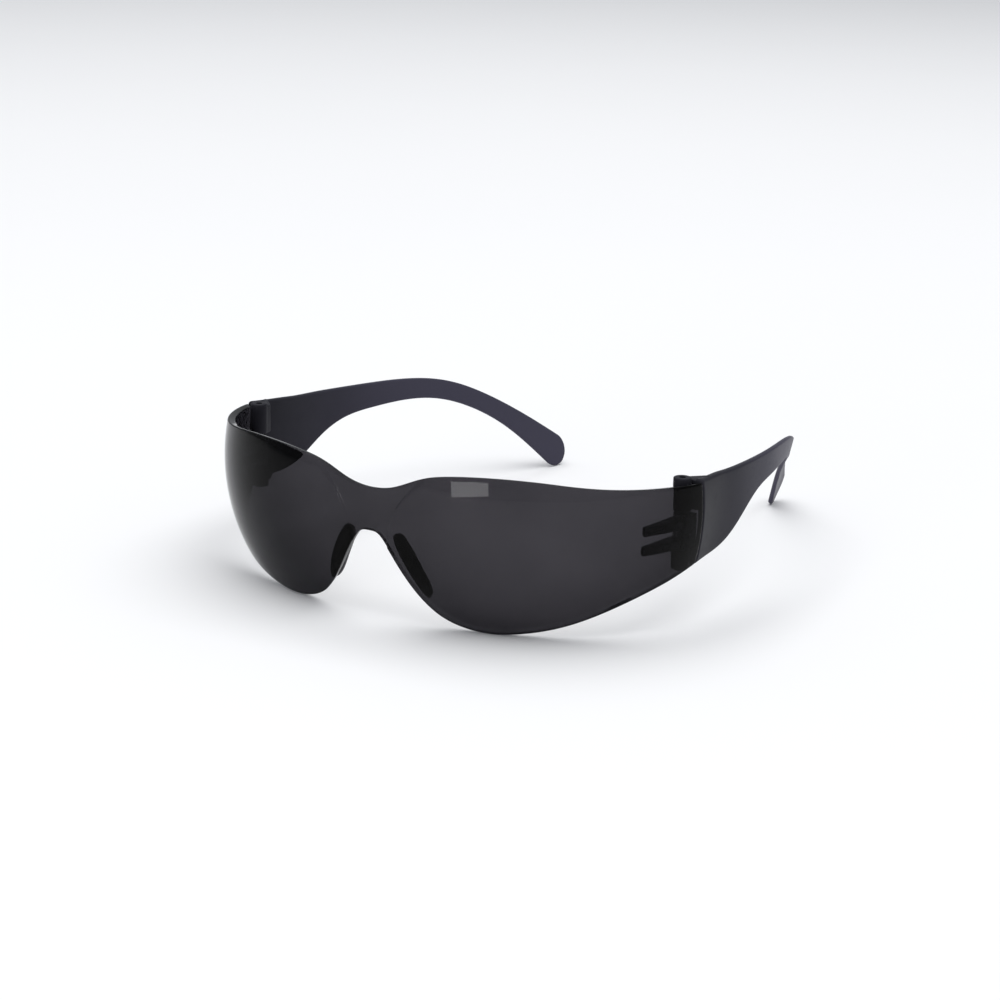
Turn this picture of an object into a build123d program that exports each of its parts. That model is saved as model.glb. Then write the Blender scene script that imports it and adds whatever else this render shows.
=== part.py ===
"""Wraparound safety glasses: one curved smoke lens, two hinge brackets with
gusset ribs, two nose pads, two swept temples and two hinge pins.

Units are millimetres and +Z is up.  The glasses face -Y and stand on the two
lens lobes and the two temple tips, all at z = 0.  The origin is at the middle
of the bounding box's bottom face.  The wearer's left is +X: each paired piece is
drawn on that side and mirrored for the other.
"""
from build123d import *
import math
import os

os.makedirs("parts", exist_ok=True)

# ---- driving dimensions -------------------------------------------------------
OVERALL_WIDTH = 142.0    # across the lens at the hinges
LENS_HEIGHT = 42.6       # lobe bottom to the highest point of the brow line
LENS_WRAP = 45.0         # how far the lens sweeps back, nose to hinge end
TEMPLE_REACH = 118.7     # hinge end of the lens to the temple tip, along Y
LENS_WALL = 2.2          # lens thickness
BRIDGE_FLAT = 15.3       # half of the nearly flat stretch over the nose
LOBE_BOW = 54.6          # radius of the lens's up-and-down curve
BRIDGE_STEP = 0.3        # the nose bridge sits this much below the lobes
TEMPLE_WALL = 2.4        # temple blade thickness at the hinge
TEMPLE_THINNING = 1.1    # how much thinner the blade is at its tip
PAD_WIDTH = 4.2          # nose pad, across
PAD_RISE = 2.0           # nose pad, how far it stands off the lens
RIB_LENGTH = 19.0        # gusset rib, measured along the lens
RIB_THICK = 2.4
PIN_RADIUS = 0.9
PIN_INSET = 0.8          # pin ends sit this far inside the top ear
PIN_PLAY = 0.05          # radial running clearance in the bracket knuckle
EAR_RADIUS = 2.3         # temple hinge ears
KNUCKLE_RADIUS = 2.1     # bracket knuckle between the ears
JOINT_GAP = 0.4          # between the lens end and the temple
EDGE_SOFT = 0.5          # rounding along the temple's edges
LENS_SOFT = 0.35         # rounding along the lens's rims

# ---- what follows from them ---------------------------------------------------
HALF = OVERALL_WIDTH / 2
TALL = LENS_HEIGHT / 42.6            # every height is drawn for a 42.6 mm lens
SWEEP_END = 1.4065                   # angle of the plan ellipse at the hinge end
ELLIPSE_X = (HALF - BRIDGE_FLAT) / math.sin(SWEEP_END)
ELLIPSE_Y = LENS_WRAP / (1 - math.cos(SWEEP_END))
BOW_CENTRE = 30.1 * TALL             # height where the lens bows out furthest
AXIS_X = HALF - 5.7                  # hinge pin, seen from above
AXIS_Y = LENS_WRAP - 1.2
KNUCKLE_BOTTOM = 21.8 * TALL
KNUCKLE_TOP = 30.7 * TALL
EAR_BOTTOM = 15.9 * TALL
EAR_TOP = 39.5 * TALL
EAR_GAP = 0.3                        # above and below the knuckle

# Brow line and lower edge: (share of the way from nose to hinge, height)
BROW = [(0, 35.9), (0.08, 37.2), (0.16, 40.3), (0.24, 41.9), (0.34, 42.6), (0.48, 42.3),
        (0.64, 40.7), (0.82, 39.4), (1, 38.5)]
LOWER = [(0, 24.6), (0.03, 24.0), (0.06, 20.4), (0.09, 15.6), (0.125, 10.3), (0.165, 5.7),
         (0.21, 2.8), (0.27, 0.9), (0.36, 0.0), (0.46, 0.8), (0.6, 3.7), (0.78, 10.0), (1, 17.0)]

# Temple blade: share of its length, inward sweep, height of its middle, half depth, cant in degrees
BLADE = [(0, 0.0, 28.0, 11.2, 0), (0.06, 1.0, 27.8, 10.7, 0), (0.14, 1.9, 27.9, 9.9, 0),
         (0.24, 2.4, 29.9, 7.1, 0), (0.34, 3.5, 31.4, 4.7, 0), (0.46, 5.5, 31.5, 3.7, 1),
         (0.6, 9.0, 30.7, 3.1, 3), (0.74, 14.6, 26.9, 2.9, 4), (0.87, 23.2, 18.0, 3.2, 1),
         (1, 31.2, 5.27, 5.1, 5)]


def smooth_table(rows, column, at):
    """Natural cubic through one column of a table, read at one place."""
    xs = [row[0] for row in rows]
    ys = [row[column] for row in rows]
    n = len(xs)
    bend = [0.0] * n
    work = [0.0] * n
    for i in range(1, n - 1):
        share = (xs[i] - xs[i - 1]) / (xs[i + 1] - xs[i - 1])
        pivot = share * bend[i - 1] + 2
        bend[i] = (share - 1) / pivot
        jump = (ys[i + 1] - ys[i]) / (xs[i + 1] - xs[i]) - (ys[i] - ys[i - 1]) / (xs[i] - xs[i - 1])
        work[i] = (6 * jump / (xs[i + 1] - xs[i - 1]) - share * work[i - 1]) / pivot
    for i in range(n - 2, -1, -1):
        bend[i] = bend[i] * bend[i + 1] + work[i]
    i = 0
    while i < n - 2 and at > xs[i + 1]:
        i += 1
    step = xs[i + 1] - xs[i]
    a = (xs[i + 1] - at) / step
    b = (at - xs[i]) / step
    curve = ((a ** 3 - a) * bend[i] + (b ** 3 - b) * bend[i + 1]) * step * step / 6
    return a * ys[i] + b * ys[i + 1] + curve


def mirrored_rows(rows):
    """The same table run from -1 to 1, so that the nose end comes out level."""
    return [(-row[0], row[1]) for row in rows[:0:-1]] + rows


BROW_FULL = mirrored_rows(BROW)
LOWER_FULL = mirrored_rows(LOWER)
ARC_STEPS = 400


def ellipse_lengths():
    """Running length of the plan ellipse, from the flat stretch outwards."""
    lengths = [0.0]
    for i in range(ARC_STEPS):
        angle = (i + 0.5) * SWEEP_END / ARC_STEPS
        speed = math.hypot(ELLIPSE_X * math.cos(angle), ELLIPSE_Y * math.sin(angle))
        lengths.append(lengths[-1] + speed * SWEEP_END / ARC_STEPS)
    return lengths


LENGTHS = ellipse_lengths()
PLAN_LENGTH = BRIDGE_FLAT + LENGTHS[-1]


def plan_curve(share):
    """Plan line of the lens at a share of nose-to-hinge: x, y and its turning angle."""
    side = 1 if share >= 0 else -1
    run = abs(share) * PLAN_LENGTH
    if run <= BRIDGE_FLAT:
        return share * PLAN_LENGTH, 0.0, 0.0
    run -= BRIDGE_FLAT
    i = 0
    while i < ARC_STEPS - 1 and LENGTHS[i + 1] < run:
        i += 1
    part = (run - LENGTHS[i]) / (LENGTHS[i + 1] - LENGTHS[i])
    angle = (i + part) * SWEEP_END / ARC_STEPS
    x = BRIDGE_FLAT + ELLIPSE_X * math.sin(angle)
    y = ELLIPSE_Y * (1 - math.cos(angle))
    turn = math.atan2(ELLIPSE_Y * math.sin(angle), ELLIPSE_X * math.cos(angle))
    return side * x, y, side * turn


def lens_point(share, height, depth):
    """A point at a depth under the lens's outer face, square to that face."""
    x, y, turn = plan_curve(share)
    tip = math.asin((height - BOW_CENTRE) / LOBE_BOW)
    inward = LOBE_BOW - (LOBE_BOW - depth) * math.cos(tip)
    z = BOW_CENTRE + (LOBE_BOW - depth) * math.sin(tip)
    return Vector(x - math.sin(turn) * inward, y + math.cos(turn) * inward, z)


def lens_layer(shares, low, high, outer, inner, rows=8):
    """A curved plate between two depths, cut square at its edges."""
    faces = []
    for depth in (outer, inner):
        grid = []
        for share in shares:
            bottom = low(share)
            top = high(share)
            grid.append([lens_point(share, bottom + (top - bottom) * k / rows, depth)
                         for k in range(rows + 1)])
        faces.append(Face.make_surface_from_array_of_points(grid, tol=0.003, min_deg=3, max_deg=5))
    rims = []
    for edge in faces[0].edges():
        far = min(faces[1].edges(), key=lambda other: (other @ 0.5 - edge @ 0.5).length)
        rims.append(Face.make_surface_from_curves(edge, far))
    return Solid(Shell(faces + rims))


def spread(start, end, count):
    return [start + (end - start) * i / count for i in range(count + 1)]


def box_between(x0, x1, y0, y1, z0, z1):
    shape = Box(x1 - x0, y1 - y0, z1 - z0)
    return shape.moved(Location(((x0 + x1) / 2, (y0 + y1) / 2, (z0 + z1) / 2)))


def plate_in_plan(outline, bottom, top):
    """An upright plate with the given outline seen from above."""
    face = make_face(Polyline(*outline, close=True))
    return extrude(face.moved(Location((0, 0, bottom))), amount=top - bottom)


def softened(shape, edges, radii):
    """Round the edges with the largest radius that the shape accepts."""
    for radius in radii:
        try:
            rounded = fillet(edges, radius)
        except (ValueError, RuntimeError):
            continue
        if rounded.is_valid and 0.8 * shape.volume < rounded.volume < 1.01 * shape.volume:
            return rounded
    return shape


def post(radius, bottom, top):
    shape = Cylinder(radius, top - bottom)
    return shape.moved(Location((AXIS_X, AXIS_Y, (bottom + top) / 2)))


# ---- lens ---------------------------------------------------------------------
def brow(share):
    return smooth_table(BROW_FULL, 1, share) * TALL


def lower(share):
    return smooth_table(LOWER_FULL, 1, share) * TALL


lens = lens_layer(spread(-1.02, 1.02, 102), lower, brow, 0, LENS_WALL)
lens -= box_between(-HALF - 9, HALF + 9, LENS_WRAP, LENS_WRAP + 20, -9, EAR_TOP + 20)
lens = softened(lens, [edge for edge in lens.edges() if edge.length > 90],
                [LENS_SOFT, LENS_SOFT * 0.6])
for bottom, top in ((EAR_BOTTOM - 9, KNUCKLE_BOTTOM), (KNUCKLE_TOP, EAR_TOP + 9)):
    relief = post(EAR_RADIUS + EAR_GAP + 0.05, bottom, top)
    lens -= relief
    lens -= relief.mirror(Plane.YZ)

bridge_side = [(5.6, 24.0), (6.6, 28.0), (8.4, 32.0), (12.6, 37.0), (16.2, 41.0), (17.5, 44.0)]
right_line = [Vector(x, -20, z * TALL) for x, z in bridge_side]
left_line = [Vector(-p.X, p.Y, p.Z) for p in right_line]
low_right = Vector(5.6, -20, 10 * TALL)
low_left = Vector(-5.6, -20, 10 * TALL)
bridge_face = make_face([
    Spline(*right_line), Line(right_line[-1], left_line[-1]), Spline(*left_line),
    Line(left_line[0], low_left), Line(low_left, low_right), Line(low_right, right_line[0])])
bridge_block = extrude(bridge_face, amount=60, dir=(0, 1, 0))
bridge_skin = lens_layer(spread(-0.26, 0.26, 26), lambda share: 8 * TALL,
                         lambda share: 46 * TALL, -3, BRIDGE_STEP)
lens -= bridge_skin & bridge_block

# ---- nose pad -----------------------------------------------------------------
pad_inner = [(6.0, 23.4), (6.6, 20.4), (8.9, 15.8), (12.0, 10.6), (14.2, 7.6)]
pad_outer = [(15.3, 8.2), (15.2, 12.0), (13.0, 17.2), (10.4, 21.6), (7.6, 24.2)]
pad_scale = PAD_WIDTH / 4.2
pad_far = [(5.6 + (x - 5.6) * pad_scale, z) for x, z in pad_outer]
inner_line = [Vector(x, -20, z * TALL) for x, z in pad_inner]
outer_line = [Vector(x, -20, z * TALL) for x, z in pad_far]
pad_face = make_face([
    Spline(*inner_line), Line(inner_line[-1], outer_line[0]), Spline(*outer_line),
    Line(outer_line[-1], inner_line[0])])
pad_block = extrude(pad_face, amount=60, dir=(0, 1, 0))
pad_skin = lens_layer(spread(0.02, 0.3, 24), lambda share: 1 * TALL,
                      lambda share: 30 * TALL, LENS_WALL - 1, LENS_WALL + PAD_RISE)
pad = (pad_skin & pad_block) - lens
pad_back = max(pad.faces(), key=lambda face: face.center().Y)
pad = softened(pad, pad_back.edges(), [0.8, 0.5, 0.3])

# ---- hinge bracket ------------------------------------------------------------
rib_share = 1 - RIB_LENGTH / PLAN_LENGTH
rib_levels = [22.0 * TALL, 27.1 * TALL]
tip_out = lens_point(rib_share, 26 * TALL, LENS_WALL * 0.5)
tip_in = lens_point(rib_share, 26 * TALL, LENS_WALL + 0.6)
hinge_out = lens_point(0.985, 26 * TALL, LENS_WALL * 0.5)
mid_out = lens_point((rib_share + 0.985) / 2, 26 * TALL, LENS_WALL * 0.5)
barrel_in = (AXIS_X - KNUCKLE_RADIUS * 0.95, AXIS_Y - KNUCKLE_RADIUS * 0.3)
rib_outline = [(tip_out.X, tip_out.Y), (tip_in.X, tip_in.Y), barrel_in, (AXIS_X, AXIS_Y),
               (hinge_out.X, hinge_out.Y), (mid_out.X, mid_out.Y)]
web_outline = [(AXIS_X - 0.5, AXIS_Y - KNUCKLE_RADIUS), (AXIS_X - 0.5, AXIS_Y + 0.4),
               (HALF - 1.2, AXIS_Y + 0.4), (HALF - 2.0, AXIS_Y - KNUCKLE_RADIUS - 2.2),
               (AXIS_X + 0.9, AXIS_Y - KNUCKLE_RADIUS - 2.2)]
bracket = post(KNUCKLE_RADIUS, KNUCKLE_BOTTOM, KNUCKLE_TOP)
bracket += plate_in_plan(web_outline, KNUCKLE_BOTTOM, KNUCKLE_TOP)
for level in rib_levels:
    bracket += plate_in_plan(rib_outline, level, level + RIB_THICK)
bracket -= post(PIN_RADIUS + PIN_PLAY, 0, EAR_TOP + 9)
bracket -= lens

# ---- temple -------------------------------------------------------------------
def blade_middle(share):
    x = HALF - TEMPLE_WALL / 2 - smooth_table(BLADE, 1, share)
    y = LENS_WRAP + TEMPLE_REACH * share
    return Vector(x, y, smooth_table(BLADE, 2, share) * TALL)


def blade_frame(share):
    """Middle of a blade section, then the ways along the blade, up it and out of it."""
    ahead = (blade_middle(share + 0.005) - blade_middle(share - 0.005)).normalized()
    cant = math.radians(smooth_table(BLADE, 4, share))
    upright = Vector(0, -ahead.Z, ahead.Y).normalized()
    up = (upright * math.cos(cant) + Vector(math.sin(cant), 0, 0)).normalized()
    return blade_middle(share), ahead, up, up.cross(ahead).normalized() * -1


def blade_section(share):
    """Section of the blade, bowed like the lens at the front and flat further back."""
    middle, ahead, up, out = blade_frame(share)
    half = smooth_table(BLADE, 3, share) * TALL
    fade = max(0.0, 1 - max(share, 0) / 0.3) ** 2
    sag = 1.2 * fade
    wall = (TEMPLE_WALL - TEMPLE_THINNING * min(1, max(share, 0) / 0.7)) / 2
    top = middle + up * half - out * sag * 0.6
    bottom = middle - up * half - out * sag
    crown = middle + out * sag * 0.2
    outer = ThreePointArc(top + out * wall, crown + out * (wall + 0.05), bottom + out * wall)
    inner = ThreePointArc(bottom - out * wall, crown - out * (wall + 0.05), top - out * wall)
    return Wire([outer, Line(outer @ 1, inner @ 0), inner, Line(inner @ 1, outer @ 0)])


stations = [-0.03, 0.03, 0.09, 0.16, 0.24, 0.33, 0.43, 0.54, 0.66, 0.77, 0.87, 0.95, 1.04]
blade = Solid.make_loft([blade_section(share) for share in stations])
blade -= box_between(HALF - 40, HALF + 20, 0, LENS_WRAP + JOINT_GAP, -20, 80)

tip_middle, tip_ahead, tip_up, tip_out = blade_frame(1)
tip_radius = smooth_table(BLADE, 3, 1) * TALL
tip_plane = Plane(origin=tip_middle, x_dir=tip_ahead, z_dir=tip_out)
tip_round = extrude(tip_plane * Circle(tip_radius), amount=15, both=True)
tip_block = extrude(tip_plane * Pos(20, 0) * Rectangle(40, 40), amount=15, both=True)
blade -= tip_block - tip_round
blade = softened(blade, [edge for edge in blade.edges() if edge.center().Y > LENS_WRAP + 3],
                 [EDGE_SOFT, EDGE_SOFT * 0.7, EDGE_SOFT * 0.5])


def hinge_arm(bottom, top):
    """Web that joins one hinge ear to the front of the blade."""
    start = LENS_WRAP + JOINT_GAP
    outline = [(HALF - 2.0, start), (AXIS_X, start), (AXIS_X, AXIS_Y),
               (AXIS_X - EAR_RADIUS * 0.98, AXIS_Y + 0.4), (AXIS_X - EAR_RADIUS * 0.7, start + 1.6),
               (HALF - 2.6, start + 6.5), (HALF - 2.0, start + 6.5)]
    return plate_in_plan(outline, bottom, top)


ear_split = ((EAR_BOTTOM, KNUCKLE_BOTTOM - EAR_GAP, EAR_BOTTOM + 1.6, KNUCKLE_BOTTOM - EAR_GAP),
             (KNUCKLE_TOP + EAR_GAP, EAR_TOP, KNUCKLE_TOP + EAR_GAP, EAR_TOP - 0.7))
temple = blade
for ear_low, ear_high, arm_low, arm_high in ear_split:
    temple += post(EAR_RADIUS, ear_low, ear_high)
    temple += hinge_arm(arm_low, arm_high)
temple -= post(PIN_RADIUS, EAR_BOTTOM - 5, EAR_TOP + 5)

# ---- hinge pin ----------------------------------------------------------------
pin = post(PIN_RADIUS, EAR_BOTTOM + 0.3, EAR_TOP - PIN_INSET)
pin = chamfer(pin.edges().filter_by(GeomType.CIRCLE), 0.2)

# ---- both sides, moved so that the origin is under the middle -----------------
parts = {
    "lens_shield": lens,
    "left_hinge_bracket": bracket,
    "right_hinge_bracket": bracket.mirror(Plane.YZ),
    "left_nose_pad": pad,
    "right_nose_pad": pad.mirror(Plane.YZ),
    "left_temple": temple,
    "right_temple": temple.mirror(Plane.YZ),
    "left_hinge_pin": pin,
    "right_hinge_pin": pin.mirror(Plane.YZ),
}
reach = max(shape.bounding_box().max.Y for shape in parts.values())
front = min(shape.bounding_box().min.Y for shape in parts.values())
floor = min(shape.bounding_box().min.Z for shape in parts.values())
shift = Location((0, -(front + reach) / 2, -floor))
print("hinge axis at", AXIS_X, AXIS_Y + shift.position.Y, "floor shift", -floor, "front", front, "reach", reach)
for name, shape in parts.items():
    solids = shape.solids()
    box = shape.bounding_box()
    print(name, len(solids), round(shape.volume, 1), shape.is_valid, "bottom", round(box.min.Z, 3),
          "edges", len(shape.edges()))
    shape = shape.moved(shift)
    shape.label = name
    export_step(shape, f"parts/{name}.step")
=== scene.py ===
# %% [markdown]
# # Wraparound safety glasses
#
# A frameless pair of safety glasses has very few pieces: one bowed smoke lens, two nose pads,
# two hinge brackets behind the lens, two swept temples and two hinge pins.  Nearly all of its
# character is in two things, the sweep of the lens and the way tinted plastic takes light.
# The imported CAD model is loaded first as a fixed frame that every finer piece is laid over.

# %% Load the frame
import math
import bpy
import numpy as np
from mathutils import Matrix


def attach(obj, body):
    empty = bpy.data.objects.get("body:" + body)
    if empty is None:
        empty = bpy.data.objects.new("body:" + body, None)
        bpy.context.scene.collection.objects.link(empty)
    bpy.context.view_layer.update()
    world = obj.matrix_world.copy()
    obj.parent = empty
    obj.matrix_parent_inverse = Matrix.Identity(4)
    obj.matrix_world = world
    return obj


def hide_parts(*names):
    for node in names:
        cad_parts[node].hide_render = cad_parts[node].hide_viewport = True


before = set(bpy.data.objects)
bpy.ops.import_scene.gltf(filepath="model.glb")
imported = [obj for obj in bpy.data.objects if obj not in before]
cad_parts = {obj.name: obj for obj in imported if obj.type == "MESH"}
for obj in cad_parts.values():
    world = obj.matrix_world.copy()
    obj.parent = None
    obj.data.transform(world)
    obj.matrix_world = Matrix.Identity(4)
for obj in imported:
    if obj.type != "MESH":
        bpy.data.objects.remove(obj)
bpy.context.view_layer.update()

# %% [markdown]
# ## The sizes
#
# Everything below is worked out in millimetres, with the lens front at y = 0, and turned into
# the frame's metres at the very end.  The sizes are the ones the pieces were drawn with, and
# the heights are measured from the surface that the glasses stand on.

# %% Sizes in millimetres
HALF = 71.0                # half the width at the hinges
WRAP = 45.0                # how far back the lens sweeps
FLAT = 15.3                # half of the flat stretch over the nose
BOW = 54.6                 # radius of the lens's up-and-down curve
BOW_Z = 30.1               # height where it bows out furthest
WALL = 2.2                 # lens thickness
STEP = 0.3                 # the nose bridge sits this far under the lobes
REACH = 118.7              # length of a temple
BLADE_WALL = 2.4           # temple thickness at the hinge
BLADE_THINNING = 1.1       # how much thinner its tail is
THIN_FROM = 0.7            # share of the temple's length from which it stays that thin
RIM = 0.42                 # radius of the lens's rounded rims
AXIS = np.array([HALF - 5.7, WRAP - 1.2])   # hinge pin, seen from above
KNUCKLE = (21.8, 30.7)     # bottom and top of the bracket's knuckle
KNUCKLE_RADIUS = 2.1
KNUCKLE_BORE = 0.95        # radius, with the pin's running clearance
ARM_START = WRAP + 0.4     # front face of the temple, behind the lens end
EARS = ((15.9, 21.5), (31.0, 39.5))         # bottom and top of the temple's two ears
EAR_RADIUS = 2.3
EAR_BORE = 0.9
PIN = (16.2, 38.7)         # bottom and top of the pin
PIN_RADIUS = 0.895         # just under the ears' bores, so that no two faces coincide
DRILL = (10, 45)           # the cut for the ears' bores, past both of their far ends
SIDES = ((1, "left"), (-1, "right"))        # the wearer's sides
TO_FRAME = np.array([0.0, -84.4448, -0.1358])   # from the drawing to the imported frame

SWEEP = 1.4065             # the plan ellipse's parameter at the hinge end, radians
ELL_X = (HALF - FLAT) / math.sin(SWEEP)
ELL_Y = WRAP / (1 - math.cos(SWEEP))

# %% [markdown]
# ## Curves through a few points
#
# A maker draws a brow line by bending a thin strip round a handful of nails.  The strip takes
# the shape with the least bending, which is a natural cubic spline.  One helper bends the
# strip through any short table of points, for the lens edges and for the temples alike.

# %% The bent strip
def strip(knots, values):
    """Natural cubic spline: y = a*y0 + b*y1 + ((a^3 - a)*m0 + (b^3 - b)*m1)*h^2/6 between two
    knots, where a and b are the shares of the way to each knot and m are the bends there."""
    x = np.asarray(knots, float)
    y = np.asarray(values, float)
    h = np.diff(x)
    n = len(x)
    system = np.eye(n)
    right = np.zeros(n)
    inner = np.arange(1, n - 1)
    system[inner, inner - 1] = h[:-1]
    system[inner, inner] = 2 * (h[:-1] + h[1:])
    system[inner, inner + 1] = h[1:]
    right[inner] = 6 * np.diff(np.diff(y) / h)
    m = np.linalg.solve(system, right)

    def at(t):
        t = np.asarray(t, float)
        i = np.clip(np.searchsorted(x, t) - 1, 0, n - 2)
        a = (x[i + 1] - t) / h[i]
        b = 1 - a
        return a * y[i] + b * y[i + 1] + ((a**3 - a) * m[i] + (b**3 - b) * m[i + 1]) * h[i]**2 / 6
    return at


def both_ways(knots, values):
    """The same table mirrored about 0, so that the strip runs level across the nose."""
    k = list(knots)
    v = list(values)
    return strip([-a for a in k[:0:-1]] + k, v[:0:-1] + v)


brow = both_ways([0, 0.08, 0.16, 0.24, 0.34, 0.48, 0.64, 0.82, 1],
                 [35.9, 37.2, 40.3, 41.9, 42.6, 42.3, 40.7, 39.4, 38.5])
lower = both_ways([0, 0.03, 0.06, 0.09, 0.125, 0.165, 0.21, 0.27, 0.36, 0.46, 0.6, 0.78, 1],
                  [24.6, 24.0, 20.4, 15.6, 10.3, 5.7, 2.8, 0.9, 0.0, 0.8, 3.7, 10.0, 17.0])
nose_height, full_height = (float(brow(at) - lower(at)) for at in (0, 0.34))
print("lens height at the nose and at its fullest, mm:",
      round(nose_height, 2), round(full_height, 2))

# %% [markdown]
# ## The lens as a swept bow
#
# Seen from above, the lens is a flat stretch over the nose that runs into a quarter of an
# ellipse on each side.  Seen from the side it is an arc of a circle.  Carrying that arc square
# to the plan line gives a barrel-like surface, and because both faces of the lens share the
# arc's centre, the wall has the same thickness everywhere.

# %% The plan line and points under the lens face
turning = np.linspace(0, SWEEP, 4001)
speed = np.hypot(ELL_X * np.cos(turning), ELL_Y * np.sin(turning))
running = np.concatenate([[0], np.cumsum((speed[1:] + speed[:-1]) / 2 * np.diff(turning))])
PLAN = FLAT + running[-1]


def plan(share):
    """x = flat + A*sin(u), y = B*(1 - cos(u)), with u found from the running length; the
    turning angle is atan2(B*sin(u), A*cos(u)).  share runs from -1 to 1 along the lens."""
    run = np.abs(share) * PLAN
    u = np.interp(run - FLAT, running, turning)
    u = u + np.maximum(run - PLAN, 0) / speed[-1]
    x = np.where(run <= FLAT, run, FLAT + ELL_X * np.sin(u))
    y = ELL_Y * (1 - np.cos(u))
    turn = np.where(run <= FLAT, 0, np.arctan2(ELL_Y * np.sin(u), ELL_X * np.cos(u)))
    return np.sign(share) * x, y, np.sign(share) * turn


def under_lens(share, height, depth):
    """Point at a depth under the outer face: the bow arc of radius R - depth about the same
    centre, turned square to the plan line."""
    x, y, turn = plan(share)
    tip = np.arcsin(np.clip((height - BOW_Z) / BOW, -0.99, 0.99))
    inward = BOW - (BOW - depth) * np.cos(tip)
    z = BOW_Z + (BOW - depth) * np.sin(tip)
    return np.stack([x - np.sin(turn) * inward, y + np.cos(turn) * inward, z], -1)


print("running length of the lens from nose to hinge, mm:", round(PLAN, 2))

# %% [markdown]
# ## From a grid of points to a mesh
#
# Every new piece is a closed ring of points carried along a line, which is a grid that joins up
# in one direction.  The faces are made for the whole grid at once, and each end is closed by
# one flat many-sided face, which is the simplest watertight end.

# %% Grid to mesh
def ring_faces(rings, around):
    """Quads (i,j), (i,j+1), (i+1,j+1), (i+1,j), with j wrapping round, for all i and j at once."""
    i = np.arange(rings - 1)[:, None]
    j = np.arange(around)[None, :]
    k = (j + 1) % around
    here = i * around
    ahead = here + around
    quads = np.stack([here + j, here + k, ahead + k, ahead + j], -1)
    return quads.reshape(-1, 4)


def solid_points(grid):
    """Vertices and faces of a ring grid shaped (rings, around, 3), closed at both ends and
    facing outwards: the volume is the sum of a.(b x c)/6 over all triangles, ends included,
    and a negative sum means that the faces have to be turned round."""
    rings, around, _ = grid.shape
    quads = ring_faces(rings, around)
    points = grid.reshape(-1, 3)
    a, b, c, d = (points[quads[:, n]] for n in range(4))
    head, tail = grid[0], grid[-1]
    triangles = [(a, b, c), (a, c, d),
                 (head.mean(0) + 0 * head, np.roll(head, -1, 0), head),
                 (tail.mean(0) + 0 * tail, tail, np.roll(tail, -1, 0))]
    volume = sum(np.einsum("ij,ij->", p, np.cross(q, r)) for p, q, r in triangles) / 6
    first = list(range(around))[::-1]
    last = list(range((rings - 1) * around, rings * around))
    faces = quads.tolist() + [first, last]
    if volume < 0:
        faces = [face[::-1] for face in faces]
    return points, faces


def show(name, mesh, smooth_angle):
    """Puts a mesh into the scene, shaded smooth except across sharp edges."""
    piece = bpy.data.objects.new(name, mesh)
    bpy.context.scene.collection.objects.link(piece)
    mesh.shade_smooth()
    mesh.set_sharp_from_angle(angle=math.radians(smooth_angle))
    return piece


def new_piece(name, points, faces, smooth_angle=40):
    """A mesh object in the frame's metres, from points in the drawing's millimetres."""
    mesh = bpy.data.meshes.new(name)
    mesh.from_pydata(((np.asarray(points) + TO_FRAME) / 1000).tolist(), [], faces)
    mesh.update()
    return show(name, mesh, smooth_angle)


def union(name, shells, holes=(), smooth_angle=40):
    """Joins closed grids into one watertight solid, then drills the holes.  The manifold solver
    keeps every shell at this small scale.  It leaves an empty material slot, which is cleared."""
    made = [new_piece(name + "_part", *solid_points(grid)) for grid in shells]
    cutters = [new_piece(name + "_cut", *solid_points(grid)) for grid in holes]
    base = made[0]
    for operand, kind in [(o, "UNION") for o in made[1:]] + [(o, "DIFFERENCE") for o in cutters]:
        step = base.modifiers.new(kind, "BOOLEAN")
        step.operation = kind
        step.solver = "MANIFOLD"
        step.object = operand
    bpy.context.view_layer.update()
    joined = base.evaluated_get(bpy.context.evaluated_depsgraph_get())
    mesh = bpy.data.meshes.new_from_object(joined)
    mesh.name = name
    mesh.materials.clear()
    for spare in made + cutters:
        bpy.data.objects.remove(spare)
    print(name, "faces", len(mesh.polygons))
    return show(name, mesh, smooth_angle)


# %% [markdown]
# ## Finishes as expressions
#
# A finish is a small sum over the surface.  A wrapper round a node socket lets the sum be
# written as ordinary arithmetic: each operator adds the Math node that does it.

# %% Socket arithmetic
class Wire:
    """A socket that can be added to and multiplied; each operation adds a Math node."""

    def __init__(self, tree, socket):
        self.tree = tree
        self.socket = socket

    def node(self, kind, settings=None, out=0, **inputs):
        """Adds a node, sets its settings first and then its inputs, and returns one output."""
        made = self.tree.nodes.new(kind)
        for key, value in (settings or {}).items():
            setattr(made, key, value)
        for key, value in inputs.items():
            key = key.replace("_", " ")
            target = made.inputs[int(key[1:])] if key[1:].isdigit() else made.inputs[key]
            if isinstance(value, Wire):
                self.tree.links.new(value.socket, target)
            else:
                target.default_value = value
        return Wire(self.tree, made.outputs[out])

    def math(self, operation, other):
        return self.node("ShaderNodeMath", {"operation": operation}, i0=self, i1=other)

    def __add__(self, other):
        return self.math("ADD", other)

    __radd__ = __add__

    def __mul__(self, other):
        return self.math("MULTIPLY", other)

    __rmul__ = __mul__

    def band(self, low, high):
        """0 below low, 1 above high, easing between."""
        return self.node("ShaderNodeMapRange", {"interpolation_type": "SMOOTHSTEP"},
                         Value=self, From_Min=low, From_Max=high)

    def noise(self, scale, detail=3.0, roughness=0.5):
        return self.node("ShaderNodeTexNoise", Vector=self, Scale=scale,
                         Detail=detail, Roughness=roughness)

    def tint(self, dark, light):
        """The colour part of the way from dark to light."""
        return self.node("ShaderNodeMix", {"data_type": "RGBA"}, out=2, i0=self, i6=dark, i7=light)


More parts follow.
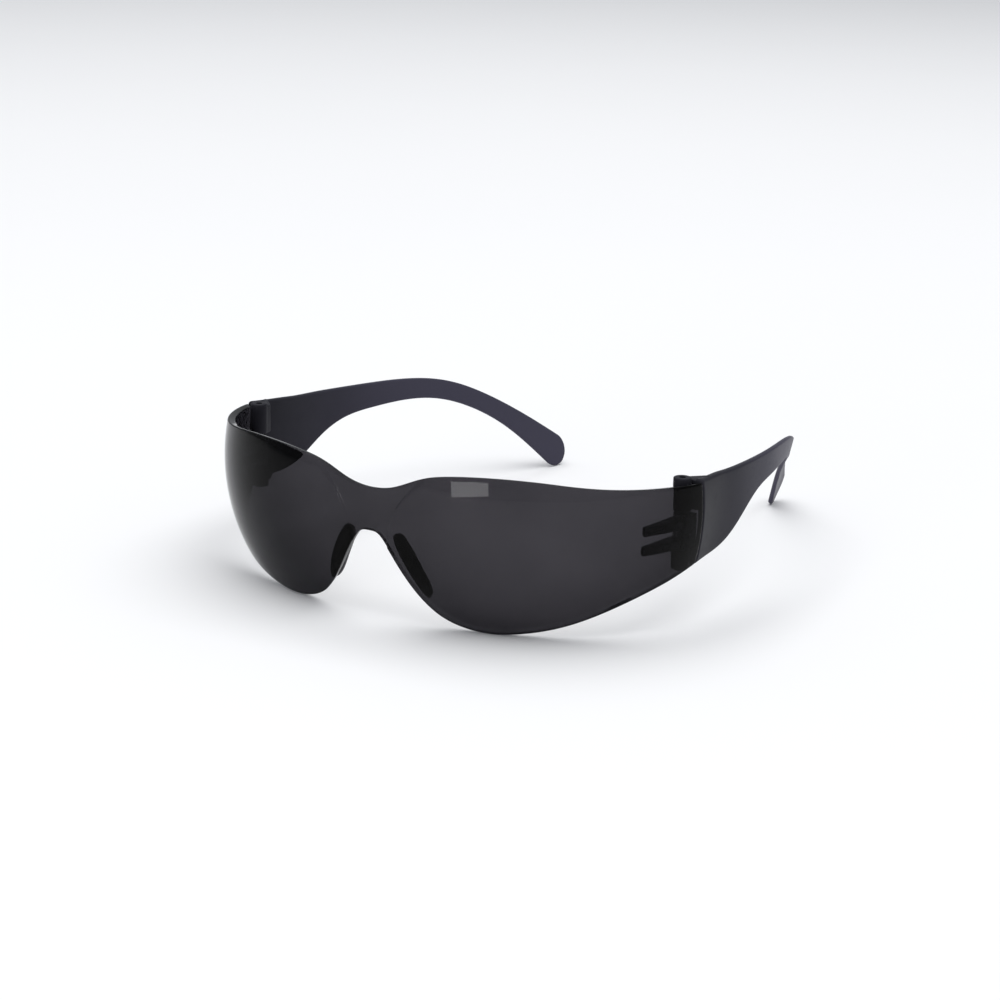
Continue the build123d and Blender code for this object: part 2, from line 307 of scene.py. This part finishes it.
def finish(name, **constants):
    """A new material: returns it, its shader and a Wire with the Object coordinates."""
    material = bpy.data.materials.new(name)
    material.use_nodes = True
    tree = material.node_tree
    shader = tree.nodes["Principled BSDF"]
    for key, value in constants.items():
        shader.inputs[key.replace("_", " ")].default_value = value
    place = tree.nodes.new("ShaderNodeTexCoord")
    return material, shader, Wire(tree, place.outputs["Object"])


def feed(shader, socket, wire):
    wire.tree.links.new(wire.socket, shader.inputs[socket])


def bump(wire, strength, distance):
    return wire.node("ShaderNodeBump", Height=wire, Strength=strength, Distance=distance)


# %% [markdown]
# ## Smoke polycarbonate
#
# The lens is clear plastic with a grey dye.  Light passes two faces, so the shader lets it
# through tinted, and the gloss at each face comes from the index of refraction.  A slanting ray
# has further to go through the dye, so the tint deepens where the lens turns away.  It deepens
# more than the longer path alone would make it: the extra darkness is painted shade, set there
# against the pale floor's reflection, which lightens those same places.  Moulded polycarbonate
# is never perfectly flat: a very faint, very slow bump bends the reflections.

# %% Lens finish
smoke, smoke_shader, at = finish("smoke_polycarbonate", Transmission_Weight=1.0, IOR=1.15)
slow = at.noise(38.0, 1.0, 0.4)
dye = at.noise(60.0, 2.0).band(0.3, 0.7).tint((0.043, 0.041, 0.047, 1), (0.049, 0.0465, 0.053, 1))
slant = at.node("ShaderNodeLayerWeight", out=1, Blend=0.5)
# Darker where the lens turns away: partly the longer path through the dye, partly painted shade
# against the floor's reflection.
slant_dye_and_painted_shade = slant.band(0.05, 0.5)
feed(smoke_shader, "Base Color", slant_dye_and_painted_shade.tint(dye, (0.011, 0.0105, 0.013, 1)))
haze = at.noise(900.0, 2.0).band(0.45, 0.75)
feed(smoke_shader, "Roughness", 0.016 + haze * 0.006)
feed(smoke_shader, "Normal", bump(slow, 0.08, 0.0006))

# %% [markdown]
# ## Temple plastic
#
# The temples are the same dyed plastic, thicker and with a satin skin from a fine-blasted
# mould.  The skin is a fine grain in the bump and a gentle drift in the roughness.  Dyed
# plastic looks paler and a little bluer where it is thin, so the colour follows the length.
# The pale blue of the thin tail is partly painted sheen, and the dark front is partly painted
# shade that holds down the pale floor's reflection there.

# %% Temple finish
satin, satin_shader, at = finish("satin_smoke_plastic", IOR=1.09)
grain = at.noise(5200.0, 2.0, 0.6)
drift = at.noise(70.0, 3.0).band(0.3, 0.7)
rub = at.noise(420.0, 4.0, 0.7).band(0.52, 0.7)
# Paler and bluer towards the tail: partly thinner dye, partly painted sheen; the darker front
# colour is partly painted shade.
thin_tail_and_painted_sheen = at.node("ShaderNodeSeparateXYZ", out=1, Vector=at).band(-0.035, 0.04)
front_dye_and_painted_shade = drift.tint((0.022, 0.0215, 0.027, 1), (0.028, 0.0275, 0.034, 1))
feed(satin_shader, "Base Color", thin_tail_and_painted_sheen.tint(front_dye_and_painted_shade, (0.064, 0.061, 0.086, 1)))
feed(satin_shader, "Roughness", 0.30 + drift * 0.06 + rub * 0.05)
feed(satin_shader, "Normal", bump(grain, 0.12, 0.00003))

# %% [markdown]
# ## Bracket plastic, pads and pins
#
# The brackets are darker and glossier than the temples.  The nose pads are softer, with an even
# matt skin.  The pins are plain steel whose shine varies a little.

# %% Bracket, pad and pin finishes
gloss, gloss_shader, at = finish("dark_bracket_plastic", IOR=1.5)
drift = at.noise(160.0, 3.0).band(0.3, 0.7)
feed(gloss_shader, "Base Color", drift.tint((0.010, 0.011, 0.016, 1), (0.016, 0.017, 0.023, 1)))
feed(gloss_shader, "Roughness", 0.22 + drift * 0.1)
feed(gloss_shader, "Normal", bump(at.noise(2500.0, 2.0), 0.1, 0.00003))

soft, soft_shader, at = finish("soft_pad", IOR=1.45)
skin = at.noise(3200.0, 3.0, 0.6)
drift = at.noise(260.0, 2.0).band(0.3, 0.7)
feed(soft_shader, "Base Color", drift.tint((0.018, 0.017, 0.021, 1), (0.026, 0.025, 0.030, 1)))
feed(soft_shader, "Roughness", 0.48 + drift * 0.12)
feed(soft_shader, "Normal", bump(skin, 0.12, 0.00004))

steel, steel_shader, at = finish("pin_steel", Metallic=1.0)
turned = at.noise(1500.0, 2.0)
feed(steel_shader, "Base Color", turned.tint((0.24, 0.24, 0.25, 1), (0.36, 0.36, 0.37, 1)))
feed(steel_shader, "Roughness", 0.28 + turned * 0.12)
feed(steel_shader, "Normal", bump(turned, 0.1, 0.00002))

# %% [markdown]
# ## The lens piece
#
# A moulded lens has a small round along both rims and at the hinge ends.  Its cross-section is
# one closed ring: up the outer face, round the brow rim, down the inner face and round the
# lower rim.  The ring is carried from one hinge end to the other.  The rings crowd together
# where the lobes step down to the nose bridge, so that the step reads as a crisp line.

# %% The lens section
def lens_ring(rim, faces=56, corner=6):
    """Along the section: share of the height, offset from the nearer edge and depth.  The
    corners are quarter circles, offset = r - r*sin(q) and depth = r - r*cos(q)."""
    v = np.linspace(0, 1, faces)
    q = np.linspace(0, np.pi / 2, corner + 1)[1:]
    flat_face = np.stack([v, rim * (1 - 2 * v), 0 * v], -1)
    over = np.stack([1 + 0 * q, -(rim - rim * np.sin(q)), rim - rim * np.cos(q)], -1)
    back = over[::-1] * [1, 1, -1] + [0, 0, WALL]
    inner_face = flat_face[::-1] + [0, 0, WALL]
    under = back * [1, -1, 1] + [-1, 0, 0]
    forth = over[::-1] * [1, -1, 1] + [-1, 0, 0]
    brow_side = np.concatenate([flat_face, over, back[:-1], inner_face])
    low_side = np.concatenate([under[::-1], forth])[:-1]
    return np.concatenate([brow_side, low_side])


step_line = strip([14.0, 24.0, 28.0, 32.0, 37.0, 41.0, 46.0],
                  [5.6, 5.6, 6.6, 8.4, 12.6, 16.2, 18.2])


def lens_grid():
    """Rings of the lens: height = low*(1-v) + high*v + offset, depth from the section, and the
    outer face sunk by an eased step inside the nose bridge.  The last four rings at each end
    draw in and stop short of the rear plane by turns, which rounds the hinge ends."""
    nose_end, step_end, step_wide = 5.0, 18.6, 0.22
    away = np.concatenate([np.linspace(0, nose_end, 12)[:-1], np.arange(nose_end, step_end, 0.16),
                           np.linspace(step_end, PLAN, 130)])
    share = np.concatenate([-away[:0:-1], away]) / PLAN
    share = np.concatenate([[share[0]] * 4, share, [share[-1]] * 4])
    shrink = np.zeros(len(share))
    ease = np.array([0.40, 0.24, 0.11, 0.03])
    shrink[:4] = ease
    shrink[-4:] = ease[::-1]
    ring = lens_ring(RIM)
    w = share[:, None]
    v = ring[None, :, 0]
    low = lower(share)[:, None]
    high = brow(share)[:, None]
    height = low * (1 - v) + high * v + ring[None, :, 1]
    depth = ring[None, :, 2] + 0 * w
    middle = (low + high) / 2
    height = middle + (height - middle) * (1 - 2 * shrink[:, None] / (high - low))
    depth = WALL / 2 + (depth - WALL / 2) * (1 - 2 * shrink[:, None] / WALL)
    inside = np.clip((step_line(height) - np.abs(w) * PLAN) / step_wide + 0.5, 0, 1)
    inside = inside * inside * (3 - 2 * inside)
    depth = depth + STEP * inside * np.clip(1 - depth / 1.0, 0, 1)
    end = share_at_rear(height, depth)
    round_end = [0, 0.05, 0.13, 0.26]
    pull = np.concatenate([round_end, np.full(len(share) - 8, RIM), round_end[::-1]])
    reach = 1 - (pull[:, None]) / PLAN
    near_end = np.clip((np.abs(w) - 0.9) / 0.1, 0, 1)
    w = np.sign(w) * np.abs(w) * (1 + near_end * (end * reach - 1))
    return under_lens(w, height, depth)


def share_at_rear(height, depth):
    """The share where a line at this height and depth meets the plane y = wrap, found by three
    steps of share - (y - wrap) / (length * 0.985)."""
    share = np.ones(np.broadcast(height, depth).shape)
    for _ in range(3):
        share = share - (under_lens(share, height, depth)[..., 1] - WRAP) / (PLAN * 0.985)
    return share


EAR_CLEAR = 2.65           # radius kept free round each ear


def ear_relief(points):
    """Pushes the inner wall out to a circle round each hinge axis, at the heights of the ears."""
    moved = points.copy()
    z = points[..., 2]
    level = (z < KNUCKLE[0]) | (z > KNUCKLE[1])
    for side in (-1, 1):
        centre = AXIS * [side, 1]
        arm = points[..., :2] - centre
        far = np.linalg.norm(arm, axis=-1)
        hit = level & (far < EAR_CLEAR)
        pushed = centre + arm / far[..., None] * EAR_CLEAR
        moved[..., :2] = np.where(hit[..., None], pushed, moved[..., :2])
    return moved


lens = new_piece("smoke_lens", *solid_points(ear_relief(lens_grid())), smooth_angle=50)
lens.data.materials.append(smoke)
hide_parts("lens_shield")
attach(lens, "front")
print("lens faces:", len(lens.data.polygons))

# %% [markdown]
# ## The nose pads
#
# Each pad is a soft crescent lying along the nose cut-out, on the inner wall.  It is a
# rounded ring carried along the crescent's middle line, and the ring's width grows and
# closes again like a willow leaf.

# %% Nose pads
pad_place = [0, 0.25, 0.5, 0.75, 1]
pad_x = strip(pad_place, [6.9, 8.3, 10.5, 12.8, 14.6])
pad_z = strip(pad_place, [24.2, 21.0, 16.5, 11.4, 7.4])
pad_half = strip(pad_place, [1.5, 2.0, 2.15, 1.9, 1.3])


def pad_grid(rings=64, around=40):
    """Across = half*leaf*cos(q) squared off, rise = 1 + sin(q) squared off, both times the leaf
    (1 - |2s - 1|^6)^(1/3); the place is a point at depth wall + rise on the lens."""
    s = (1 - np.cos(np.linspace(0.0, np.pi, rings))) / 2
    leaf = np.maximum(1 - np.abs(2 * s - 1)**6, 1e-4)**(1 / 3)
    q = np.linspace(0, 2 * np.pi, around, endpoint=False)
    blunt = 0.7
    across = np.sign(np.cos(q)) * np.abs(np.cos(q))**blunt
    rise = (1 + np.sign(np.sin(q)) * np.abs(np.sin(q))**blunt) / 2
    x, z, half = pad_x(s), pad_z(s), pad_half(s)
    along = np.stack([np.gradient(x), np.gradient(z)], -1)
    along = along / np.linalg.norm(along, axis=1)[:, None]
    wide = (half * leaf)[:, None] * across[None, :]
    px = x[:, None] - along[:, 1][:, None] * wide
    pz = z[:, None] + along[:, 0][:, None] * wide
    lift = 0.04 + 1.95 * leaf[:, None]**0.7 * rise[None, :]
    return under_lens(px / PLAN, pz, WALL + lift)


for side, name in SIDES:
    grid = pad_grid() * [side, 1, 1]
    pad = new_piece(name + "_nose_pad_soft", *solid_points(grid), smooth_angle=60)
    pad.data.materials.append(soft)
    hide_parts(name + "_nose_pad")
    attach(pad, "front")

# %% [markdown]
# ## Turned and moulded hinge pieces
#
# The ears, the knuckle and the pin are all turned shapes: an outline spun about the pin's
# axis.  The webs that join them to the lens and the blade are upright plates with
# softened edges, and each rib is a rounded bar that grows deeper towards the hinge.

# %% Turned rings, plates and bars
def turned_ring(profile, around=64):
    """Spins an outline of (radius, z) round the hinge axis: x = r*cos(a), y = r*sin(a)."""
    a = np.linspace(0, 2 * np.pi, around, endpoint=False)
    r = np.array([p[0] for p in profile])
    z = np.array([p[1] for p in profile])
    x = AXIS[0] + r[:, None] * np.cos(a)
    y = AXIS[1] + r[:, None] * np.sin(a)
    return np.stack([x, y, z[:, None] + 0 * a], -1)


def post(radius, bottom, top, soft_edge=0.25):
    """A spun post with quarter-round edges, closed on its axis by tiny end rings."""
    q = np.linspace(0, np.pi / 2, 5)
    up = [(radius - soft_edge * (1 - math.sin(t)), bottom + soft_edge * (1 - math.cos(t)))
          for t in q]
    down = [(r, bottom + top - z) for r, z in up[::-1]]
    tiny = 0.05
    return turned_ring([(tiny, bottom)] + up + down + [(tiny, top)])


def plate(outline, bottom, top, soft_edge=0.2, around=96):
    """An upright plate: its outline is resampled evenly, and four rings at the top and bottom
    are drawn in towards the middle along a quarter circle to soften the edge."""
    corners = np.array(outline + outline[:1], float)
    steps = np.concatenate([[0], np.cumsum(np.linalg.norm(np.diff(corners, axis=0), axis=1))])
    t = np.linspace(0, steps[-1], around, endpoint=False)
    edge = np.stack([np.interp(t, steps, corners[:, 0]), np.interp(t, steps, corners[:, 1])], -1)
    centre = edge.mean(0)
    size = np.linalg.norm(edge - centre, axis=1).mean()
    q = np.linspace(0, np.pi / 2, 4)
    draw = np.concatenate([soft_edge * (1 - np.sin(q)), soft_edge * (1 - np.sin(q[::-1]))])
    z = np.concatenate([bottom + soft_edge * (1 - np.cos(q)),
                        top - soft_edge * (1 - np.cos(q[::-1]))])
    ring = centre + (edge - centre)[None] * (1 - draw / size)[:, None, None]
    return np.concatenate([ring, np.broadcast_to(z[:, None, None], ring.shape[:2] + (1,))], -1)


RIB_LEVELS = (22.0, 27.1)  # bottom of each rib
RIB_LENGTH = 19.0          # along the lens, back from its end
RIB_END = 4.5              # where the rib has run into the knuckle


def rib(level, thick=2.4, rings=40):
    """A gusset bar: its outer side lies on the lens's inner wall and its inner side runs straight
    from the tip to the knuckle; the section is a rounded rectangle."""
    sunk, tip_rise = 0.15, 0.7
    middle = level + thick / 2
    begin = 1 - RIB_LENGTH / PLAN
    s = np.linspace(0, 1, rings)
    share = begin + s * (RIB_LENGTH - RIB_END) / PLAN
    wall = under_lens(share, np.full(rings, middle), np.full(rings, WALL - sunk))
    start = under_lens(np.array(begin), np.array(middle), np.array(WALL + tip_rise))
    finish_at = np.array([AXIS[0] - 1.9, AXIS[1] - 0.4, middle])
    free = start + (finish_at - start) * s[:, None]
    tip = np.minimum(s * (RIB_LENGTH - RIB_END) / 0.5, 1)
    cap = np.minimum(1, np.sqrt(np.clip(1 - (1 - tip)**2, 0.02, 1)))
    q = np.linspace(0, 2 * np.pi, 48, endpoint=False)
    square = 0.28
    u = (1 + np.sign(np.cos(q)) * np.abs(np.cos(q))**square) / 2
    v = np.sign(np.sin(q)) * np.abs(np.sin(q))**square / 2
    across = 0.5 + (u[None, :, None] - 0.5) * cap[:, None, None]
    point = wall[:, None] + (free - wall)[:, None] * across
    point[..., 2] = middle + thick * v[None, :] * cap[:, None]
    return point


# %% [markdown]
# ## The hinge brackets
#
# Behind the lens, two ribs carry a knuckle, and a short web ties the knuckle to the wall.

# %% Hinge brackets
web = [(AXIS[0] - 0.6, AXIS[1] - 2.0), (AXIS[0] - 0.6, AXIS[1] + 1.0), (HALF - 2.2, AXIS[1] + 1.0),
       (HALF - 2.6, AXIS[1] - 4.2), (AXIS[0] + 1.2, AXIS[1] - 4.2)]
for side, name in SIDES:
    turn = [side, 1, 1]
    shells = [post(KNUCKLE_RADIUS, *KNUCKLE), plate(web, KNUCKLE[0] + 0.05, KNUCKLE[1] - 0.05)]
    shells += [rib(level) for level in RIB_LEVELS]
    bore = post(KNUCKLE_BORE, KNUCKLE[0] - 3, KNUCKLE[1] + 3)
    bracket = union(name + "_ribbed_bracket", [grid * turn for grid in shells], [bore * turn])
    bracket.data.materials.append(gloss)
    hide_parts(name + "_hinge_bracket")
    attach(bracket, "front")

# %% [markdown]
# ## The temples
#
# A temple is a deep blade at the hinge that thins to a strip over the ear and ends in a small
# paddle that drops behind it.  Four bent strips say everything about it: how far it sweeps
# inwards, how high its middle is, how deep it is and how much it leans.  Its section
# is a thin rounded rectangle, bowed at the front so that it carries on the lens's surface.

# %% The blade
knots = [0, 0.06, 0.14, 0.24, 0.34, 0.46, 0.6, 0.74, 0.87, 1]
blade_sweep = strip(knots, [0.0, 1.0, 1.9, 2.4, 3.5, 5.5, 9.0, 14.6, 23.2, 31.2])
blade_level = strip(knots, [28.0, 27.8, 27.9, 29.9, 31.4, 31.5, 30.7, 26.9, 18.0, 5.27])
blade_half = strip(knots, [11.2, 10.7, 9.9, 7.1, 4.7, 3.7, 3.1, 2.9, 3.2, 5.1])
blade_cant = strip(knots, [0, 0, 0, 0, 0, 1, 3, 4, 1, 5])


def unit(v):
    return v / np.linalg.norm(v, axis=-1, keepdims=True)


def blade_middle(s):
    """x = half width - wall/2 - sweep(s), y = wrap + reach*s, z = level(s)."""
    return np.stack([HALF - BLADE_WALL / 2 - blade_sweep(s), WRAP + REACH * s, blade_level(s)], -1)


def blade_grid(rings=260, cap_rings=22):
    """Sections square to the middle line.  Past the last station the half depth follows a
    quarter circle, h*cos(e), while the middle goes on by h*sin(e), which rounds the paddle."""
    s = np.concatenate([[0.0034, 0.0034, 0.0034, 0.0034], np.linspace(0.0095, 1, rings)])
    e = np.linspace(0, np.pi / 2, cap_rings + 1)[1:]
    ahead = unit(blade_middle(s + 0.004) - blade_middle(s - 0.004))
    middle = blade_middle(s)
    half = blade_half(s)
    h = half[-1]
    s = np.concatenate([s, np.ones(cap_rings)])
    middle = np.concatenate([middle, middle[-1] + ahead[-1] * h * np.sin(e)[:, None]])
    ahead = np.concatenate([ahead, np.repeat(ahead[-1:], cap_rings, 0)])
    half = np.concatenate([half, np.maximum(h * np.cos(e), 0.12)])
    cant = np.radians(blade_cant(s))[:, None]
    upright = unit(np.stack([0 * s, -ahead[:, 2], ahead[:, 1]], -1))
    up = unit(upright * np.cos(cant) + np.array([1.0, 0, 0]) * np.sin(cant))
    out = unit(np.cross(ahead, up))
    wall = (BLADE_WALL - BLADE_THINNING * np.minimum(1, s / THIN_FROM)) / 2
    wall[-cap_rings:] *= np.sqrt(np.maximum(np.cos(e), 0.05))**0.7
    trim = np.zeros(len(s))
    trim[:4] = [0.45, 0.26, 0.1, 0.02]
    around = section_loop(half - trim, wall - trim)
    lean = np.maximum(0, 1 - s / 0.3)**2
    z = middle[:, None, 2] + around[..., 0]
    bulge = BOW - np.sqrt(BOW**2 - np.clip(z - BOW_Z, -20, 20)**2)
    outwards = around[..., 1] - bulge * lean[:, None]
    grid = middle[:, None] + up[:, None] * around[..., :1] + out[:, None] * outwards[..., None]
    front = ARM_START + np.array([0.0, 0.1, 0.25, 0.42])
    for k in range(4):
        shift = (front[k] - grid[k, :, 1]) / ahead[k, 1]
        grid[k] = grid[k] + ahead[k] * shift[:, None]
    return grid


def section_loop(half, wall, straight=15, corner=7):
    """A rounded rectangle as one ring: straight runs up the outer side and down the inner side,
    and quarter circles of radius 0.75 of the half wall at the four corners."""
    r = (0.75 * wall)[:, None]
    h = half[:, None]
    t = wall[:, None]
    q = np.linspace(0, np.pi / 2, corner)[None, :]
    v = np.linspace(-1, 1, straight)[None, 1:-1]
    r = np.minimum(r, h * 0.9)
    top_out = np.stack([h - r + r * np.sin(q), t - r + r * np.cos(q)], -1)
    top_in = np.stack([h - r + r * np.cos(q), -(t - r + r * np.sin(q))], -1)
    low_in = -top_out
    low_out = -top_in
    outer = np.stack([(h - r) * v, t + 0 * v], -1)
    inner = np.stack([-(h - r) * v, -t + 0 * v], -1)
    return np.concatenate([outer, top_out, top_in, inner, low_in, low_out], 1)


arm = [(HALF - 2.0, ARM_START), (AXIS[0], ARM_START), (AXIS[0], AXIS[1]),
       (AXIS[0] - 2.2, AXIS[1] + 0.4), (AXIS[0] - 1.6, ARM_START + 1.6),
       (HALF - 2.6, ARM_START + 6.5), (HALF - 2.0, ARM_START + 6.5)]
arm_levels = ((17.6, 21.45), (31.05, 38.7))
for side, name in SIDES:
    turn = [side, 1, 1]
    shells = [blade_grid()]
    for (low, high), (arm_low, arm_high) in zip(EARS, arm_levels):
        shells += [post(EAR_RADIUS, low, high, 0.3), plate(arm, arm_low, arm_high, 0.25)]
    hole = post(EAR_BORE, *DRILL)
    temple = union(name + "_swept_temple", [grid * turn for grid in shells], [hole * turn])
    temple.data.materials.append(satin)
    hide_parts(name + "_temple")
    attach(temple, name + "_arm")

# %% [markdown]
# ## The hinge pins
#
# A pin is a plain steel post with a softened edge, a little below the top of the upper ear.

# %% Hinge pins
for side, name in SIDES:
    turned = post(PIN_RADIUS, *PIN, 0.2) * [side, 1, 1]
    pin = new_piece(name + "_steel_pin", *solid_points(turned))
    pin.data.materials.append(steel)
    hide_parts(name + "_hinge_pin")
    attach(pin, name + "_arm")

# %% [markdown]
# ## Floor, light and camera
#
# The glasses stand on a wide pale floor under a large overhead light, with one small softbox
# in front of them that draws the bright patch on the lens.

# %% Floor
floor_mesh = bpy.data.meshes.new("pale_floor")
far = 30                   # metres from the glasses to each edge of the floor
corners = [(-far, -far, 0), (far, -far, 0), (far, far, 0), (-far, far, 0)]
floor_mesh.from_pydata(corners, [], [(0, 1, 2, 3)])
floor = bpy.data.objects.new("pale_floor", floor_mesh)
bpy.context.scene.collection.objects.link(floor)
pale, pale_shader, at = finish("pale_paper", Roughness=0.9)
paper = at.noise(3.0, 2.0).tint((0.93, 0.93, 0.935, 1), (0.95, 0.95, 0.955, 1))
feed(pale_shader, "Base Color", paper)
floor.data.materials.append(pale)

# %% Lights
def softbox(name, place, aim, width, height, power, roll=0.0):
    """A rectangular light that faces the aim point; its roll tips it about the line to there."""
    lamp = bpy.data.lights.new(name, "AREA")
    lamp.shape = "RECTANGLE"
    lamp.size = width
    lamp.size_y = height
    lamp.energy = power
    holder = bpy.data.objects.new(name, lamp)
    holder.location = place
    way = np.array(aim, float) - np.array(place, float)
    across = math.hypot(way[0], way[1])
    turn = math.atan2(way[1], way[0]) - math.pi / 2
    holder.rotation_euler = (math.pi / 2 + math.atan2(way[2], across), math.radians(roll), turn)
    bpy.context.scene.collection.objects.link(holder)


softbox("overhead", (0.0, 0.1, 2.2), (0, 0, 0), 3.2, 3.2, 56)
softbox("front_box", (-0.055, -1.08, 0.10), (0.028, -0.08, 0.04), 0.35, 0.14, 2.5, -9.0)
world = bpy.data.worlds.new("studio")
world.use_nodes = True
world.node_tree.nodes["Background"].inputs["Color"].default_value = (0.92, 0.95, 1.0, 1)
world.node_tree.nodes["Background"].inputs["Strength"].default_value = 0.4
bpy.context.scene.world = world
bpy.context.scene.view_settings.view_transform = "Standard"

# %% Camera
SENSOR = 36.0              # sensor width, mm


def camera_at(azimuth, elevation, roll, distance, target, focal):
    """Looks at the target from angles in degrees and a distance in metres, with the focal length
    in millimetres; roll turns the picture about the line of sight."""
    a = math.radians(azimuth)
    e = math.radians(elevation)
    back = np.array([math.sin(a) * math.cos(e), -math.cos(a) * math.cos(e), math.sin(e)])
    right = np.array([math.cos(a), math.sin(a), 0.0])
    up = np.cross(back, right)
    c, s = math.cos(math.radians(roll)), math.sin(math.radians(roll))
    right, up = c * right + s * up, c * up - s * right
    place = np.array(target) + back * distance
    lens_data = bpy.data.cameras.new("camera")
    lens_data.sensor_width = SENSOR
    lens_data.lens = focal
    lens_data.clip_start = 0.01
    camera = bpy.data.objects.new("camera", lens_data)
    matrix = np.eye(4)
    matrix[:3, 0], matrix[:3, 1], matrix[:3, 2], matrix[:3, 3] = right, up, back, place
    camera.matrix_world = Matrix(matrix.tolist())
    bpy.context.scene.collection.objects.link(camera)
    bpy.context.scene.camera = camera


AIM = (np.array([10.6316, 47.1642, 23.5929]) + TO_FRAME) / 1000
camera_at(azimuth=30.28, elevation=15.83, roll=1.544, distance=0.64287, target=AIM, focal=87.63264)
